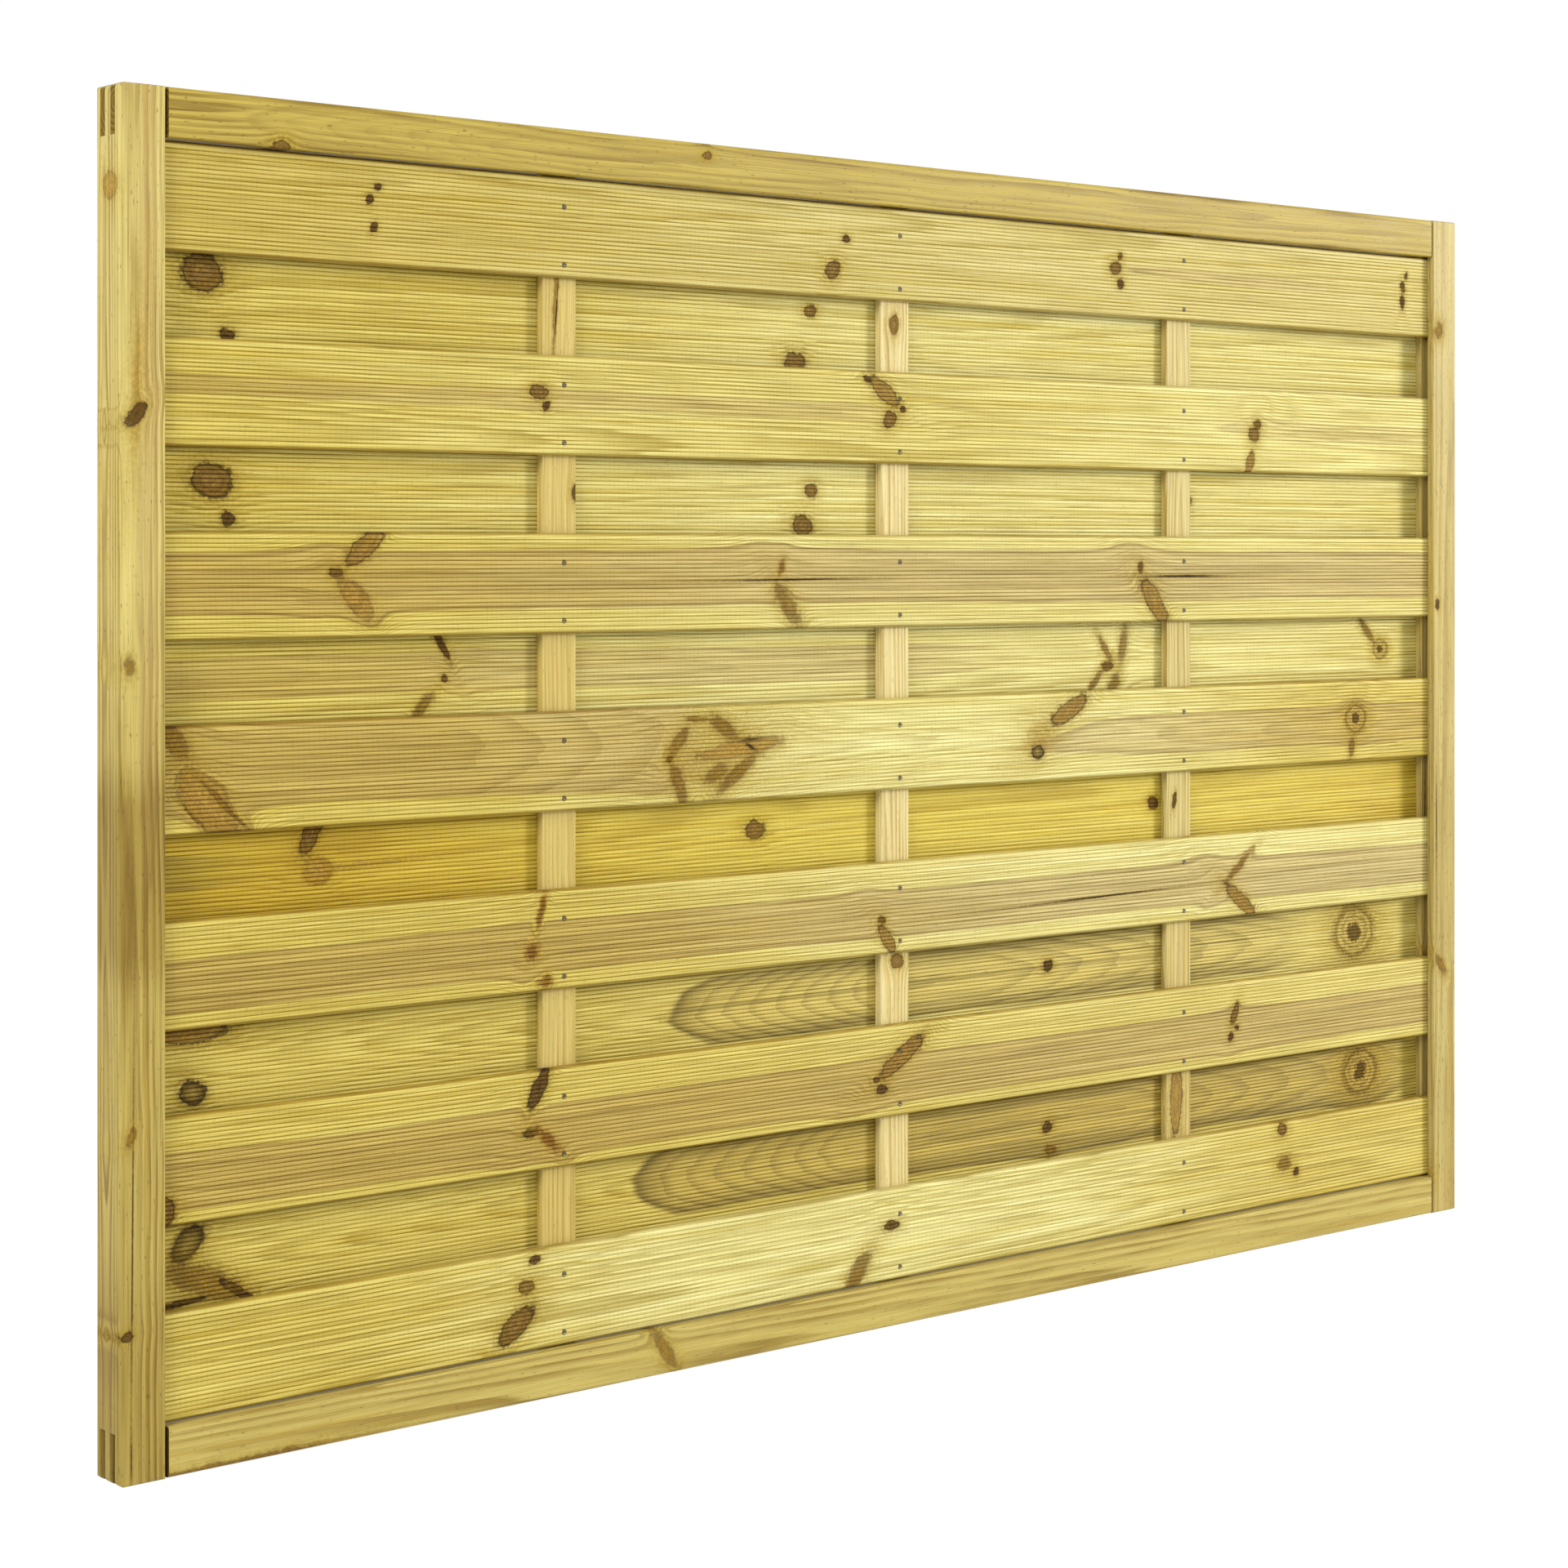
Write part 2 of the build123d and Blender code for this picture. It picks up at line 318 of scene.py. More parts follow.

    # painted shade in the valleys between the ribs, on top of the shade the ribs cast, and a dark ring round
    # each nail
    if "ribs" in look:
        # painted shade, deeper in the valleys and in knots, and weaker where the painted sheen lies
        valley = ((y - look["face"]) / look["ribs"]).ease(0.12, 0.95, 0.0,
                                                          wood["valley"]) * (1.0 - sheenCover * 0.6)
        colour = colour.over(valley, tint(*wood["groove"]), "MULTIPLY")
        colour = colour.over(valley * knotty, tint(*wood["knotGrooveShade"]), "MULTIPLY")
    if "nails" in look:
        nailX, nailZ = look["nails"]
        gapX = abs(x - nailX[0]).atMost(abs(x - nailX[1])).atMost(abs(x - nailX[2]))
        gapZ = abs(z - nailZ[0]).atMost(abs(z - nailZ[-1]))
        nailRing = (gapX * gapX + gapZ * gapZ).ease(nailRingCut["start"], nailRingCut["end"], nailRingCut["cover"], 0.0)
        colour = colour.over(nailRing, tint(*nailRingCut["colour"]))

    # end grain soaks up more of the treatment
    facing = spot.add("ShaderNodeTexCoord", None, None, "Normal").split()
    endFace = abs(facing[0] if level else facing[2]).ease(0.7, 0.95)
    endDark = [c * grainCut["endDark"] for c in wood["end"]]
    colour = colour.over(endFace, cycle.ease(0.3, 0.9).mix(tint(*wood["end"]), tint(*endDark)))

    bump = spot.add("ShaderNodeBump", None, {"Strength": 0.4, "Distance": 0.0005,
                                             "Height": fine * 0.7 + late * 0.3})
    gloss = fine.ease(0.2, 0.8, 0.42, 0.58) + endFace * 0.25 + knotty * 0.4
    shader = spot.add("ShaderNodeBsdfPrincipled", None, {"Base Color": colour, "Roughness": gloss,
                                                         "Specular IOR Level": 0.2, "Normal": bump})
    spot.add("ShaderNodeOutputMaterial", None, {"Surface": shader})
    return material


def wear(piece, material):
    piece.data.materials.clear()
    piece.data.materials.append(material)


def deselect():
    if bpy.context.object and bpy.context.object.mode != "OBJECT":
        bpy.ops.object.mode_set(mode="OBJECT")
    bpy.ops.object.select_all(action="DESELECT")


def pick(piece):
    deselect()
    piece.select_set(True)
    bpy.context.view_layer.objects.active = piece


def choose(piece, part, test):
    # edit mode with just the vertices, edges or faces that pass the test
    bpy.ops.object.mode_set(mode="EDIT")
    bpy.ops.mesh.select_mode(type={"vertices": "VERT", "edges": "EDGE", "polygons": "FACE"}[part])
    bpy.ops.mesh.select_all(action="DESELECT")
    bpy.ops.object.mode_set(mode="OBJECT")
    for item in getattr(piece.data, part):
        item.select = test(item)
    bpy.ops.object.mode_set(mode="EDIT")


def stand(piece, node, slot):
    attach(piece, "root")
    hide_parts(node)


# boards: ribbed in front, plain behind
boardCut = {
    "ribPitch": 0.00392,
    "ribCount": 21,
    "rowsPerRib": 6,
    "rowDepths": {0: 0.0009, 1: 0.0003, 2: 0.00007},  # below the crest, counted from a valley
    "valleyEdge": 0.0008,  # last valley up to the plain margin
    "frontRound": 0.004,
    "backEase": 0.001,
    "lengths": 6,
    "roundSteps": 5,
    "easeSteps": 2,
    "smooth": 48.0,
}
near = 1e-5  # two places closer than this are the same


def makeBoard(node):
    low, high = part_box(node)
    middle = (low[2] + high[2]) / 2
    rows = boardCut["rowsPerRib"]
    ribbed = boardCut["ribCount"] * boardCut["ribPitch"]
    step = boardCut["ribPitch"] / rows
    deselect()
    bpy.ops.mesh.primitive_grid_add(x_subdivisions=boardCut["lengths"],
                                    y_subdivisions=boardCut["ribCount"] * rows, size=1.0,
                                    location=(0.0, low[1], middle), rotation=(math.pi / 2, 0.0, 0.0))
    board = bpy.context.object
    board.scale = (high[0] - low[0], ribbed, 1.0)
    bpy.ops.object.transform_apply(location=True, rotation=True, scale=True)

    # push the rows back into valleys
    for phase, depth in boardCut["rowDepths"].items():
        def inRow(vertex):
            row = round((vertex.co.z - middle + ribbed / 2) / step) % rows
            return row in (phase, rows - phase)
        choose(board, "vertices", inRow)
        bpy.ops.transform.translate(value=(0.0, depth, 0.0))
        bpy.ops.object.mode_set(mode="OBJECT")

    # plain margins above and below the ribs
    for edge, outer in ((middle + ribbed / 2, high[2]), (middle - ribbed / 2, low[2])):
        choose(board, "vertices", lambda vertex: abs(vertex.co.z - edge) < near)
        rise = math.copysign(boardCut["valleyEdge"], outer - edge)
        lift = (0.0, -boardCut["rowDepths"][0], rise)
        bpy.ops.mesh.extrude_edges_move(TRANSFORM_OT_translate={"value": lift})
        bpy.ops.mesh.extrude_edges_move(TRANSFORM_OT_translate={"value": (0.0, 0.0, outer - edge - rise)})
        bpy.ops.object.mode_set(mode="OBJECT")

    # sides and back
    bpy.ops.object.mode_set(mode="EDIT")
    bpy.ops.mesh.select_all(action="DESELECT")
    bpy.ops.mesh.select_non_manifold(extend=False, use_wire=False, use_boundary=True, use_multi_face=False,
                                     use_non_contiguous=False, use_verts=False)
    bpy.ops.mesh.extrude_edges_move(TRANSFORM_OT_translate={"value": (0.0, high[1] - low[1], 0.0)})
    bpy.ops.transform.resize(value=(1.0, 0.0, 1.0), center_override=(0.0, high[1], 0.0))
    bpy.ops.mesh.edge_face_add()
    bpy.ops.mesh.select_all(action="SELECT")
    bpy.ops.mesh.normals_make_consistent(inside=False)
    bpy.ops.object.mode_set(mode="OBJECT")

    # round the long edges, in front more than behind
    front = (low[1], boardCut["frontRound"], boardCut["roundSteps"])
    back = (high[1], boardCut["backEase"], boardCut["easeSteps"])
    for place, size, segments in (front, back):
        points = board.data.vertices

        def longEdge(edge):
            ends = [points[i].co for i in edge.vertices]
            flat = abs(ends[0].z - ends[1].z) < near and abs(ends[0].x - ends[1].x) > near
            return flat and all(abs(end.y - place) < near for end in ends) and any(
                abs(ends[0].z - rim) < near for rim in (low[2], high[2]))
        choose(board, "edges", longEdge)
        bpy.ops.mesh.bevel(offset=size, offset_type="OFFSET", segments=segments, clamp_overlap=False)
        bpy.ops.object.mode_set(mode="OBJECT")
    bpy.ops.object.shade_smooth_by_angle(angle=math.radians(boardCut["smooth"]))
    return board


def copyPiece(piece, shift):
    pick(piece)
    bpy.ops.object.duplicate()
    twin = bpy.context.object
    twin.location = shift
    bpy.ops.object.transform_apply(location=True, rotation=True, scale=True)
    return twin


boardWood = {
    "grain": "x", "wander": 34.0, "sway": 3.0, "ringStep": 2.6, "ringNoise": 0.7, "ringShow": 0.66,
    "early": (214, 197, 101), "late": (160, 135, 36), "golden": (190, 165, 52), "pale": (228, 216, 124),
    "streak": 0.45, "hair": 0.5,
    "heart": (190, 164, 86), "heartRim": (136, 110, 40), "rim": 0.5, "rimReach": 0.5, "arcs": 0.85,
    # painted shade: the valley tints and strength that darken the rib valleys
    "fleck": 0.2, "chatter": 0.22, "groove": (186, 164, 102), "knotGrooveShade": (140, 114, 76), "valley": 0.8,
    "end": (150, 114, 44),
}

# pith: across, behind the face, drift along
# knots: x, height on the board, half length, half width, lean, kind
# the lists of paler stretches give painted sheen, a lamp's highlight painted as paler colour
boardLooks = {
    "front_board_1": {"seed": 1.3, "pith": (30, 60, 0.01), "heart": [(3, 6, 330, 840, 120, 0.6)],
                      "tones": {"early": (203, 184, 96), "pale": (214, 199, 116)},
                      "paintedSheen": [(300, 1000, 0.4)], "knots": [
        (-636, 23, 4, 3, 0, "dark"), (-645, 11, 4, 4, 0, "dark"), (-640, -14, 5, 3, 70, "dark"),
        (-74, 12, 5, 4, 0, "dark"), (-92, -21, 10, 8, 30, "sound"), (326, 18, 4, 4, 0, "dark"),
        (318, 5, 8, 7, 0, "sound"), (326, -12, 5, 5, 0, "dark"), (816, 24, 4, 3, 90, "dark"),
        (810, 10, 6, 4, 90, "dark"), (809, -8, 8, 4, 90, "dark")]},
    "front_board_2": {"seed": 2.9, "pith": (-30, 50, 0.01), "paintedSheen": [(-100, 700, 0.28), (800, 700, 0.5)],
                      "heart": [(7, 9, -2000, 60, 60, 0.5), (0, 10, 470, 2000, 120, 0.3)], "knots": [
        (-457, 12, 10, 7, 0, "sound"), (-449, -1, 4, 4, 0, "dark"), (-22, 27, 24, 9, -35, "blade"),
        (-45, 39, 6, 3, -20, "dark"), (-14, -2, 10, 8, 40, "sound"), (4, 8, 4, 3, 0, "dark"),
        (551, 7, 6, 5, 0, "dark"), (545, -4, 9, 8, 0, "sound"), (538, -37, 15, 6, 70, "blade")]},
    "front_board_3": {"seed": 4.4, "pith": (3, 9, 0.003), "heart": [(3, 27, -2000, 2000, 1, 0.75)],
                      "paintedSheen": [(300, 950, 0.5)], "knots": [
        (-650, 34, 25, 9, 38, "blade"), (-680, 11, 7, 4, 0, "dark"), (-659, -13, 24, 10, -47, "tan"),
        (-160, 14, 9, 4, 77, "dash"), (-150, -25, 25, 9, -55, "flame"), (-150, 2, 80, 1.2, 0.5, "split"),
        (358, 13, 6, 4, -84, "dark"), (381, -26, 32, 11, -51, "blade"), (430, 3, 60, 1.6, 0, "split")]},
    "front_board_4": {"seed": 5.8, "pith": (0, 22, 0.03), "paintedSheen": [(60, 620, 0.68)],
                      "heart": [(13, 40, -2000, -240, 30, 0.75), (-4, 22, 190, 2000, 160, 0.6)], "knots": [
        (-843, 35, 20, 10, -49, "flame"), (-811, -20, 38, 18, -47, "tan"),
        (-824, -32, 18, 1.5, -43, "flame"), (-795, -22, 32, 2.4, -44, "flame"),
        (-245, 2, 66, 40, 4, "stain"), (-290, 13, 18, 6, 51, "flame"), (-267, 35, 14, 3, -2, "flame"),
        (-302, -4, 4, 3, 0, "dark"), (-290, -29, 22, 7, -67, "flame"), (-244, -20, 16, 8, 19, "flame"),
        (-233, 24, 21, 7, -31, "flame"), (-217, -21, 30, 6, 36, "flame"), (-212, 4, 52, 8, 7, "tan"),
        (-200, 12, 15, 1.6, 1, "split"), (-200, 5, 9, 2, -29, "split"), (200, 2, 29, 14, 31, "stain"),
        (247, 27, 30, 10, 27, "blade"), (199, -17, 9, 7, 0, "loose"), (723, 2, 14, 13, 0, "ring"),
        (716, -32, 12, 5, 80, "flame")]},
    "front_board_5": {"seed": 7.1, "pith": (-7, 10, 0.004), "heart": [(-7, 23, -2000, 2000, 1, 0.75)],
                      "paintedSheen": [(600, 1000, 0.6)], "knots": [
        (-455, 27, 19, 4, 72, "dash"), (-465, -9, 9, 8, 60, "dash"), (-450, -39, 9, 7, 0, "dash"),
        (-25, -12, 5, 4, 0, "dark"), (-18, -32, 18, 7, -55, "blade"), (517, 8, 26, 4, 38, "flame"),
        (522, -30, 32, 8, -38, "blade"), (300, -10, 127, 1.1, 1.1, "split")]},
    "front_board_6": {"seed": 8.6, "pith": (-12, 10, 0.004), "heart": [(-12, 24, -2000, 2000, 1, 0.75)],
                      "paintedSheen": [(600, 900, 0.2)], "knots": [
        (-457, 31, 22, 7, 62, "dark"), (-467, -11, 8, 4, 0, "dark"), (-446, -20, 18, 6, -45, "dash"),
        (2, 13, 37, 9, 32, "blade"), (-33, -7, 4, 3, 0, "dark"), (-25, -18, 7, 5, 0, "dark"),
        (512, 10, 12, 5, 70, "sound"), (516, -6, 4, 3, 0, "dark"), (505, -16, 4, 4, 0, "dark"),
        (-855, -34, 13, 12, -40, "sound")]},
    "front_board_7": {"seed": 9.9, "pith": (-20, 80, 0.01), "heart": [], "paintedSheen": [(-20, 640, 0.7)],
                      "knots": [
        (-472, 14, 9, 7, 0, "sound"), (-484, -21, 24, 11, 38, "sound"), (-462, 38, 6, 4, 0, "dark"),
        (-12, 9, 10, 5, 0, "dark"), (-58, -33, 24, 9, 50, "flame"), (593, 38, 8, 7, 0, "sound"),
        (597, -2, 12, 8, 0, "flame"), (617, -14, 5, 5, 0, "dark")]},
    "back_board_1": {"seed": 11.2, "pith": (30, 90, 0.004), "heart": [], "paintedSheen": [(400, 1000, 0.52)],
                     "tones": {"wander": 8.0, "streak": 0.7}, "knots": [
        (-806, 22, 21, 17, -15, "sound"), (-781, -32, 7, 6, 0, "dark"), (-107, 22, 8, 6, 0, "sound"),
        (-128, -32, 13, 11, 0, "sound")]},
    "back_board_2": {"seed": 12.7, "pith": (30, 90, 0.004), "heart": [], "paintedSheen": [(250, 1000, 0.5)],
                     "tones": {"wander": 8.0, "streak": 0.7}, "knots": [
        (-797, 8, 21, 15, -15, "sound"), (-780, -26, 7, 6, 0, "dark"), (-106, 8, 8, 7, 0, "sound"),
        (-117, -28, 13, 10, 0, "sound"), (452, 4, 6, 5, 0, "dark")]},
    "back_board_3": {"seed": 14.1, "pith": (-20, 40, 0.01), "heart": [(2, 18, -2000, 250, 100, 0.55)],
                     "paintedSheen": [(200, 900, 0.6)], "knots": [
        (-556, 30, 18, 4, -62, "dark"), (-552, -3, 4, 4, 0, "dark"), (-575, -27, 16, 5, 45, "flame"),
        (320, 7, 19, 4, -55, "flame"), (348, 11, 20, 6, 79, "flame"), (323, -12, 8, 5, 0, "dark"),
        (304, -28, 17, 4, 47, "flame"), (333, -33, 14, 7, 59, "flame"), (765, 20, 20, 5, -45, "flame"),
        (789, -2, 10, 9, 0, "ring")]},
    "back_board_4": {"seed": 15.5, "pith": (20, 80, 0.01), "heart": [(2, 15, -2000, -700, 60, 0.6)],
                     "paintedSheen": [(200, 900, 0.85)],
                     "tones": {"early": (199, 171, 52), "late": (162, 128, 24), "golden": (184, 150, 30),
                               "pale": (212, 188, 78), "heart": (156, 138, 50)}, "knots": [
        (-696, 28, 19, 8, 60, "sound"), (-689, -4, 15, 12, 0, "tan"), (-640, -2, 60, 3, 2, "stain"),
        (-180, 4, 12, 9, 0, "sound"), (396, 2, 8, 7, 0, "dark")]},
    "back_board_5": {"seed": 16.8, "pith": (0, 20, -0.03), "heart": [(0, 34, -290, 690, 55, 0.8)],
                     "paintedSheen": [(400, 900, 0.2)],
                     "tones": {"heart": (206, 184, 90), "heartRim": (118, 100, 34), "rim": 0.75,
                               "rimReach": 0.95, "arcs": 1.6}, "knots": [
        (-826, 36, 46, 14, -4, "blade"), (-816, -22, 13, 10, -20, "loose"), (231, 2, 7, 6, 0, "dark"),
        (741, 0, 27, 23, 0, "ring")]},
    "back_board_6": {"seed": 18.3, "pith": (0, 20, -0.03), "heart": [(4, 36, -335, 900, 55, 0.8)],
                     "tones": {"heart": (190, 166, 78), "heartRim": (116, 98, 32), "rim": 0.8,
                               "rimReach": 0.95, "arcs": 1.6}, "knots": [
        (-820, 16, 18, 11, 45, "loose"), (-800, -22, 44, 13, -22, "flame"), (-772, -32, 22, 4, -35, "dark"),
        (-835, -36, 34, 3, 5, "dark"), (231, -4, 8, 6, 20, "dark"), (235, -30, 9, 5, 0, "flame"),
        (752, 2, 24, 21, 0, "ring")]},
}

# the nails stand over the middle of each batten, two high on a front board
battens = ("left_batten", "middle_batten", "right_batten")
nailX = [sum(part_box(node)[i][0] for i in (0, 1)) * 500 for node in battens]
nailHeights = (19.475, -35.53)
pattern = makeBoard(frontBoards[0])
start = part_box(frontBoards[0])[0]
for node in frontBoards + backBoards:
    low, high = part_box(node)
    board = pattern if node == frontBoards[0] else copyPiece(pattern, [b - a for a, b in zip(start, low)])
    board.name = pieceName(node)
    middle = (low[2] + high[2]) * 500
    side = node.split("_")[0]
    look = dict(boardLooks[node], level=middle, middle=middle, face=low[1] * 1000,
                ribs=boardCut["rowDepths"][0] * 1000)
    if side == "front":
        look["nails"] = (nailX, [middle + rise for rise in nailHeights])
    wear(board, woodMaterial(node + " pine", boardWood, look))
    stand(board, node, side + "_board_wood")
print("boards made:", len(frontBoards + backBoards))


# frame and battens: the CAD forms, welded and smoothed
frameCut = {"weld": 1e-6, "smooth": 32.0}


def smoothCopy(node):
    piece = bpy.data.objects.new(pieceName(node), nodes[node].data.copy())
    bpy.context.scene.collection.objects.link(piece)
    pick(piece)
    bpy.ops.object.mode_set(mode="EDIT")
    bpy.ops.mesh.select_all(action="SELECT")
    bpy.ops.mesh.remove_doubles(threshold=frameCut["weld"])
    bpy.ops.mesh.customdata_custom_splitnormals_clear()
    bpy.ops.object.mode_set(mode="OBJECT")
    bpy.ops.object.shade_smooth_by_angle(angle=math.radians(frameCut["smooth"]))
    return piece


frameWood = {
    "grain": "z", "wander": 10.0, "sway": 5.0, "ringStep": 4.4, "ringNoise": 0.5, "ringShow": 0.65,
    "early": (204, 186, 110), "late": (142, 113, 40), "golden": (182, 156, 68), "pale": (210, 195, 120),
    "streak": 0.6,
    "heart": (178, 148, 88), "heartRim": (150, 120, 64), "rim": 0.4, "rimReach": 0.5, "arcs": 0.85,
    "cloud": (196, 181, 112),
    "fleck": 0.5, "hair": 0.35, "chatter": 0.0, "end": (130, 104, 32),
}
frameLooks = {
    "left_stile": {"seed": 21.0, "pith": (-14, 22, 0.006), "heart": [(6, 8, 500, 2000, 80, 0.35)],
                   "tones": {"ringShow": 0.9, "hair": 0.6, "wander": 16.0, "sway": 8.0,
                             "early": (208, 191, 114)},
                   "sideKnots": [(-900, -5, 1113, 12, 12, "tan")],
                   "clouds": [(520, 70, 0.6), (200, 420, 0.5), (60, 120, 0.4)], "knots": [
        (-884, 935, 60, 6, 86, "stain"), (-884, 917, 13, 6, 50, "dark"), (-891, 700, 8, 5, 90, "flame"),
        (-888, 205, 150, 0.7, 89.5, "split"), (-889, 22, 20, 0.7, 90, "split"),
        (-893, 128, 6, 4, 20, "dark"), (-889, 298, 9, 4, 70, "flame")]},
    "right_stile": {"seed": 23.0, "tones": {"early": (190, 172, 104), "pale": (200, 184, 118)},
                     "pith": (10, 40, 0.004), "heart": [], "clouds": [(420, 120, 0.3)], "knots": [
        (867, 1067, 10, 7, 80, "flame"), (864, 736, 6, 4, 90, "dark"), (870, 300, 14, 6, -50, "flame"),
        (856, 45, 12, 5, 90, "stain"), (862, 470, 60, 0.9, 90, "split")]},
    "top_rail": {"seed": 25.0, "pith": (6, 16, 0.008), "heart": [(-2, 17, -780, 2000, 60, 0.4)],
                 "tones": {"early": (185, 163, 72), "late": (120, 91, 16), "golden": (162, 134, 34),
                           "pale": (193, 173, 78),
                           "heart": (186, 164, 72), "heartRim": (122, 95, 20), "arcs": 1.4,
                           "ringStep": 5.0, "ringNoise": 0.5, "ringShow": 0.9, "sway": 12.0}, "knots": [
        (-741, 1155, 10, 8, 0, "sound"), (-263, 1188, 5, 4, 0, "sound")]},
    "bottom_rail": {"seed": 27.0, "pith": (-16, 40, 0.01),
                    "tones": {"end": (98, 76, 16), "early": (194, 176, 98), "late": (138, 112, 40),
                              "pale": (206, 191, 114), "ringShow": 0.85},
                     "heart": [], "knots": [
        (-314, 24, 24, 7, -55, "flame"), (-800, 0, 90, 5, 1, "flame")]},
}
for node, look in frameLooks.items():
    piece = smoothCopy(node)
    low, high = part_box(node)
    level = node.endswith("rail")
    middle = (low[2] + high[2]) * 500 if level else (low[0] + high[0]) * 500
    wood = dict(frameWood, grain="x" if level else "z")
    wear(piece, woodMaterial(node + " pine", wood, dict(look, level=0.0, middle=middle, face=low[1] * 1000)))
    stand(piece, node, "frame_wood")

battenWood = dict(frameWood, early=(224, 208, 148), late=(180, 152, 74), golden=(206, 182, 104),
                  pale=(230, 216, 158),
                  ringStep=3.4, ringShow=1.0, hair=0.6, fleck=0.25)
battenLooks = {
    "left_batten": {"seed": 31.0, "tones": {"early": (202, 181, 104), "pale": (210, 191, 118)},
                     "pith": (20, 24, 0.004), "heart": [], "knots": [
        (-408, 856, 8, 5, 90, "dark"), (-432, 1044, 52, 2.2, 87, "flame"),
        (-431, 1030, 30, 0.8, 86, "split")]},
    "middle_batten": {"seed": 33.0, "pith": (-18, 24, 0.004), "heart": [], "knots": [
        (-1, 1035, 10, 6, 90, "sound"), (3, 374, 9, 8, 0, "sound")]},
    "right_batten": {"seed": 35.0, "tones": {"early": (206, 190, 124), "late": (166, 140, 66),
                                             "pale": (214, 200, 136)},
                      "pith": (2, 10, 0.004), "heart": [], "knots": [
        (424, 185, 42, 9, 88, "blade"), (421, 520, 9, 3, 80, "dark")]},
}
for node, look in battenLooks.items():
    piece = smoothCopy(node)
    low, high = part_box(node)
    middle = (low[0] + high[0]) * 500
    wear(piece, woodMaterial(node + " pine", battenWood,
                             dict(look, level=0.0, middle=middle, face=low[1] * 1000)))
    stand(piece, node, "batten_wood")
print("frame and battens dressed:", len(frameLooks) + len(battenLooks))


# galvanised fixings
zinc = {"bright": (226, 222, 204), "dull": (140, 134, 116), "spangle": 1.4}
nailCut = {"radius": 0.0014, "sides": 14, "rim": 0.0004, "dish": 0.00025, "smooth": 30.0,
           "flat": 0.001218, "proud": 0.00002}  # flat: half the height of a nail in the CAD


def zincMaterial():
    material = bpy.data.materials.new("dull zinc")
    material.use_nodes = True
    material.node_tree.nodes.clear()
    spot = Wire(material.node_tree).add("ShaderNodeTexCoord", None, None, "Object")
    size = 1000.0 / zinc["spangle"]
    spangle = spot.vector("MULTIPLY", (size, size, size)).noise(3.0, 0.6)
    colour = spangle.ease(0.35, 0.65).mix(tint(*zinc["dull"]), tint(*zinc["bright"]))
    shader = spot.add("ShaderNodeBsdfPrincipled", None, {"Base Color": colour, "Metallic": 0.35,
                                                         "Roughness": spangle.ease(0.2, 0.8, 0.32, 0.55)})
    spot.add("ShaderNodeOutputMaterial", None, {"Surface": shader})
    return material


def makeNails(node, places, head, point):
    # one pin with a dished head, copied to every place and joined
    deselect()
    bpy.ops.mesh.primitive_cylinder_add(vertices=nailCut["sides"], radius=nailCut["radius"],
                                        depth=abs(point - head),
                                        location=(places[0][0], (head + point) / 2, places[0][1]),
                                        rotation=(math.pi / 2, 0.0, 0.0))
    nail = bpy.context.object
    bpy.ops.object.transform_apply(location=True, rotation=True, scale=True)
    way = 1 if point > head else -1
    choose(nail, "polygons", lambda face: face.normal.y * way < -0.9)
    bpy.ops.mesh.inset(thickness=nailCut["rim"], depth=0.0)
    bpy.ops.transform.translate(value=(0.0, way * nailCut["dish"], 0.0))
    bpy.ops.object.mode_set(mode="OBJECT")
    pins = [nail] + [copyPiece(nail, (x - places[0][0], 0.0, z - places[0][1])) for x, z in places[1:]]
    deselect()
    for pin in pins:
        pin.select_set(True)
    bpy.context.view_layer.objects.active = nail
    bpy.ops.object.join()
    nail.name = pieceName(node)
    bpy.ops.object.shade_smooth_by_angle(angle=math.radians(nailCut["smooth"]))
    wear(nail, zincCoat)
    stand(nail, node, "galvanised_steel")


zincCoat = zincMaterial()
pinX = [x / 1000 for x in nailX]


def boardMiddle(node):
    return sum(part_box(node)[i][2] for i in (0, 1)) / 2


frontPins = [(x, boardMiddle(node) + rise / 1000) for node in frontBoards for x in pinX for rise in nailHeights]
backPins = [(x, boardMiddle(node)) for node in backBoards for x in pinX]
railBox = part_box("rail_nails")
railHeights = (railBox[0][2] + nailCut["flat"], railBox[1][2] - nailCut["flat"])
railPins = [(x, z) for x in pinX for z in railHeights]
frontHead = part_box(frontBoards[0])[0][1] - nailCut["proud"]
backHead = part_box(backBoards[0])[1][1] + nailCut["proud"]
makeNails("front_board_nails", frontPins, frontHead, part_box("front_board_nails")[1][1])
makeNails("back_board_nails", backPins, backHead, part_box("back_board_nails")[0][1])
makeNails("rail_nails", railPins, railBox[0][1], railBox[1][1])
wear(nodes["corner_staples"], zincCoat)
print("fixings made:", len(frontPins + backPins + railPins), "nails")


# floor, light and camera
studio = {"floor": 40.0, "drop": -0.0005, "grey": 0.8, "floorLift": 0.66, "world": 0.52}
lamps = {  # place, aim, size, power
    "keyLamp": ((5.2, -4.0, 2.4), (0.1, 0.0, 0.6), 1.6, 333.0),
    "fillLamp": ((-5.0, -2.0, 3.2), (-0.9, 0.0, 0.7), 2.4, 186.0),
}


def seenRays(tree):
    # 1 for what the camera sees, straight on or in metal
    path = Wire(tree).add("ShaderNodeLightPath").socket.node.outputs
    rays = ("Is Camera Ray", "Is Glossy Ray", "Is Transmission Ray")
    camera, glossy, through = [Wire(tree, path[key]) for key in rays]
    return (camera + glossy + through).atMost(1.0)


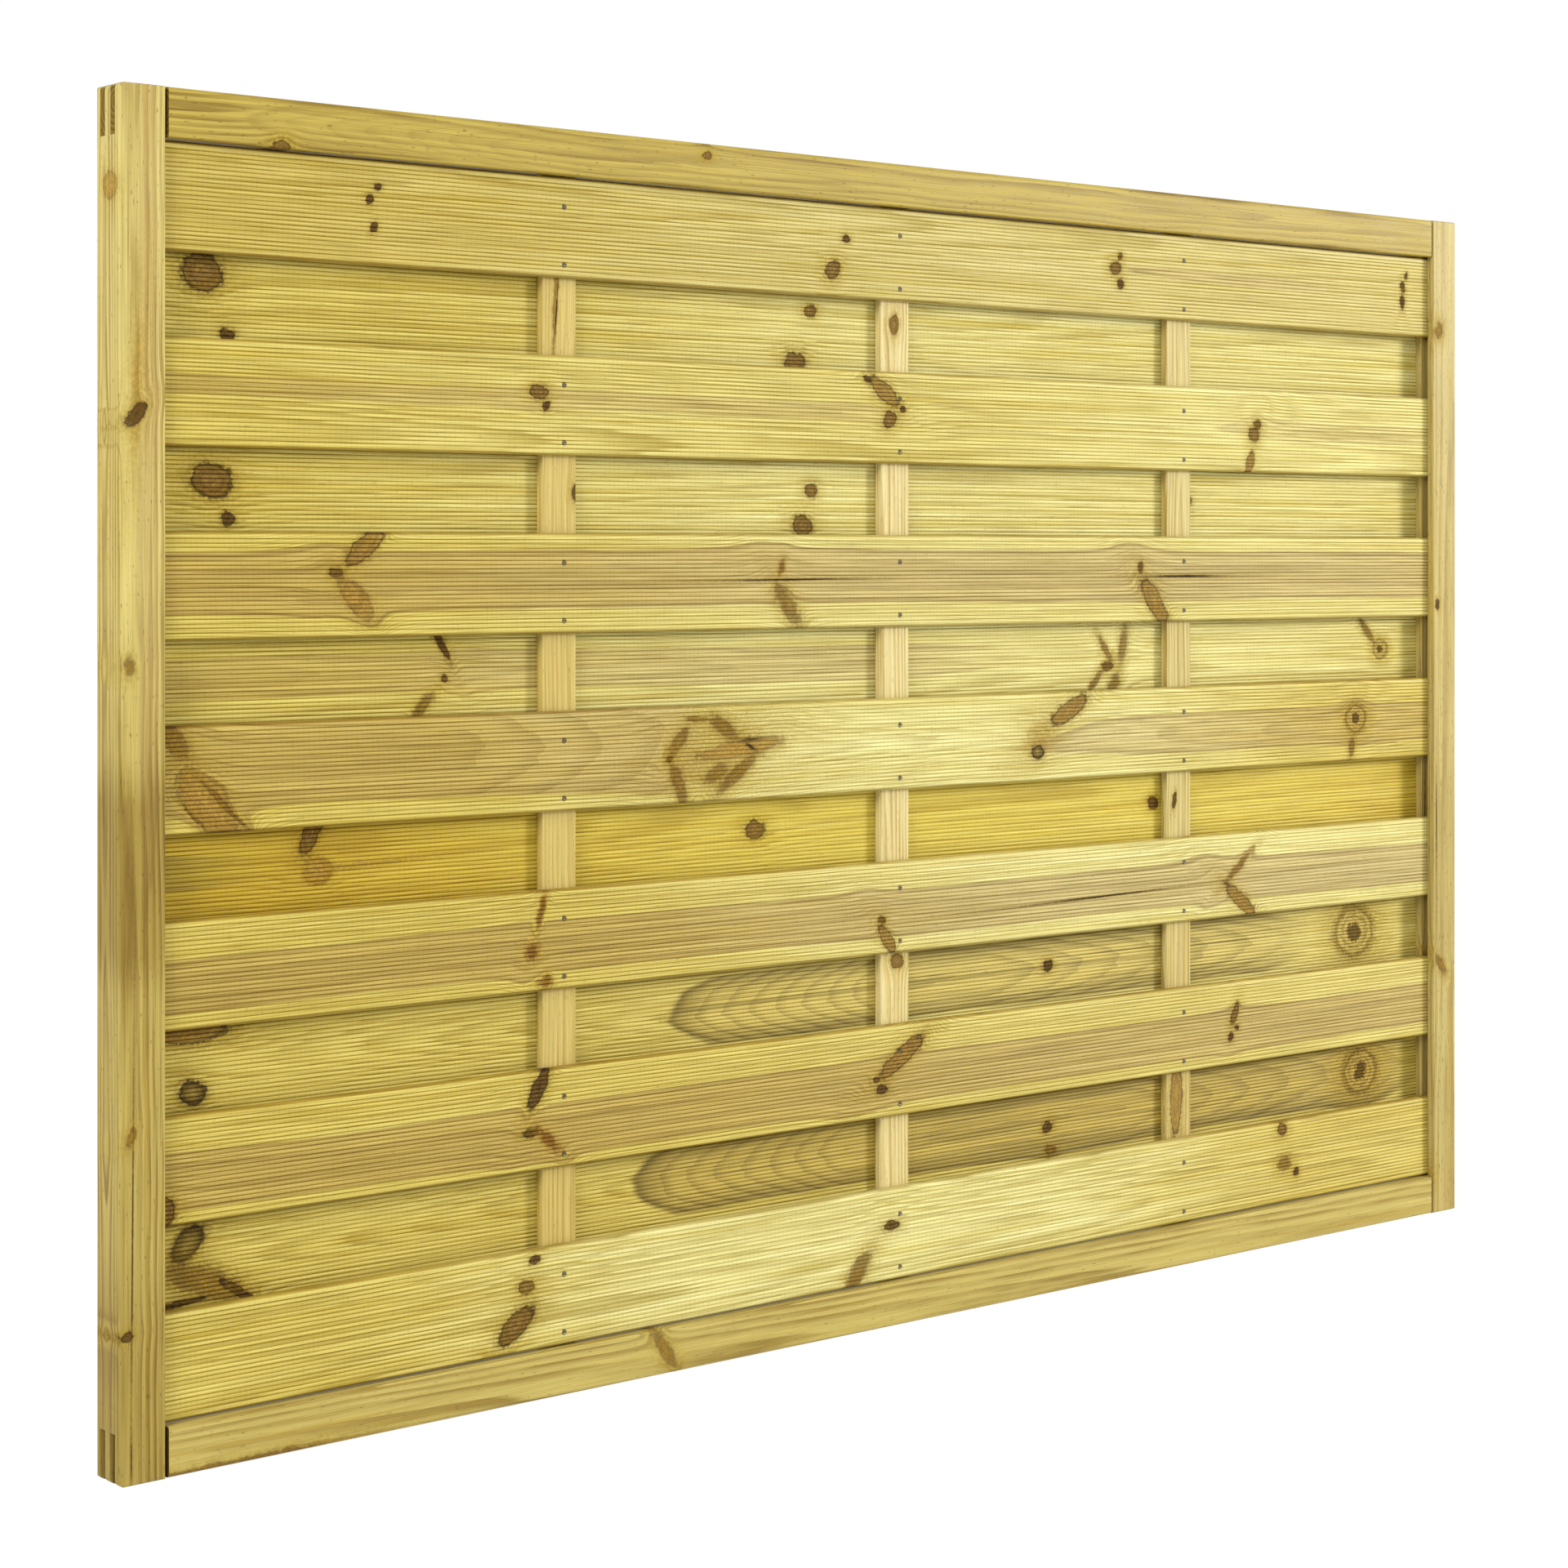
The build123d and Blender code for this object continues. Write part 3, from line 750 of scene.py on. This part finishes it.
deselect()
bpy.ops.mesh.primitive_plane_add(size=studio["floor"], location=(0.0, 0.0, studio["drop"]))
floor = bpy.context.object
floor.name = "studioFloor"
floorPaint = bpy.data.materials.new("studio white")
floorPaint.use_nodes = True
floorPaint.node_tree.nodes.clear()
paint = Wire(floorPaint.node_tree)
matte = paint.add("ShaderNodeBsdfDiffuse", None, {"Color": [studio["grey"]] * 3 + [1.0]})
glow = paint.add("ShaderNodeEmission", None, {"Color": (1.0, 1.0, 1.0, 1.0), "Strength": studio["floorLift"]})
lifted = paint.add("ShaderNodeAddShader", None, {0: matte, 1: glow})
shown = paint.add("ShaderNodeMixShader", None, {0: seenRays(floorPaint.node_tree), 1: matte, 2: lifted})
paint.add("ShaderNodeOutputMaterial", None, {"Surface": shown})
wear(floor, floorPaint)

world = bpy.data.worlds.new("studio")
bpy.context.scene.world = world
world.use_nodes = True
world.node_tree.nodes.clear()
sky = Wire(world.node_tree)
soft = sky.add("ShaderNodeBackground", None, {"Color": (1.0, 1.0, 1.0, 1.0), "Strength": studio["world"]})
white = sky.add("ShaderNodeBackground", None, {"Color": (1.0, 1.0, 1.0, 1.0), "Strength": 1.0})
shown = sky.add("ShaderNodeMixShader", None, {0: seenRays(world.node_tree), 1: soft, 2: white})
sky.add("ShaderNodeOutputWorld", None, {"Surface": shown})


def softLamp(name, place, aim, size, power):
    deselect()
    bpy.ops.object.light_add(type="AREA", location=place)
    lamp = bpy.context.object
    lamp.name = name
    lamp.data.shape = "DISK"
    lamp.data.size = size
    lamp.data.energy = power
    away = [a - p for a, p in zip(aim, place)]
    tilt = math.atan2(math.hypot(away[0], away[1]), -away[2])
    lamp.rotation_euler = (tilt, 0.0, math.atan2(-away[0], away[1]))


for lampName, (place, aim, size, power) in lamps.items():
    softLamp(lampName, place, aim, size, power)

view = {"place": (-2.178, -2.4469, 0.7968), "turn": -39.71, "lens": 72.25, "sensor": 36.0, "shift": -0.1467}
bpy.ops.object.camera_add(location=view["place"], rotation=(math.pi / 2, 0.0, math.radians(view["turn"])))
camera = bpy.context.object
camera.data.lens = view["lens"]
camera.data.sensor_width = view["sensor"]
camera.data.shift_y = view["shift"]
bpy.context.scene.camera = camera
bpy.context.scene.view_settings.view_transform = "Standard"
print("studio set")
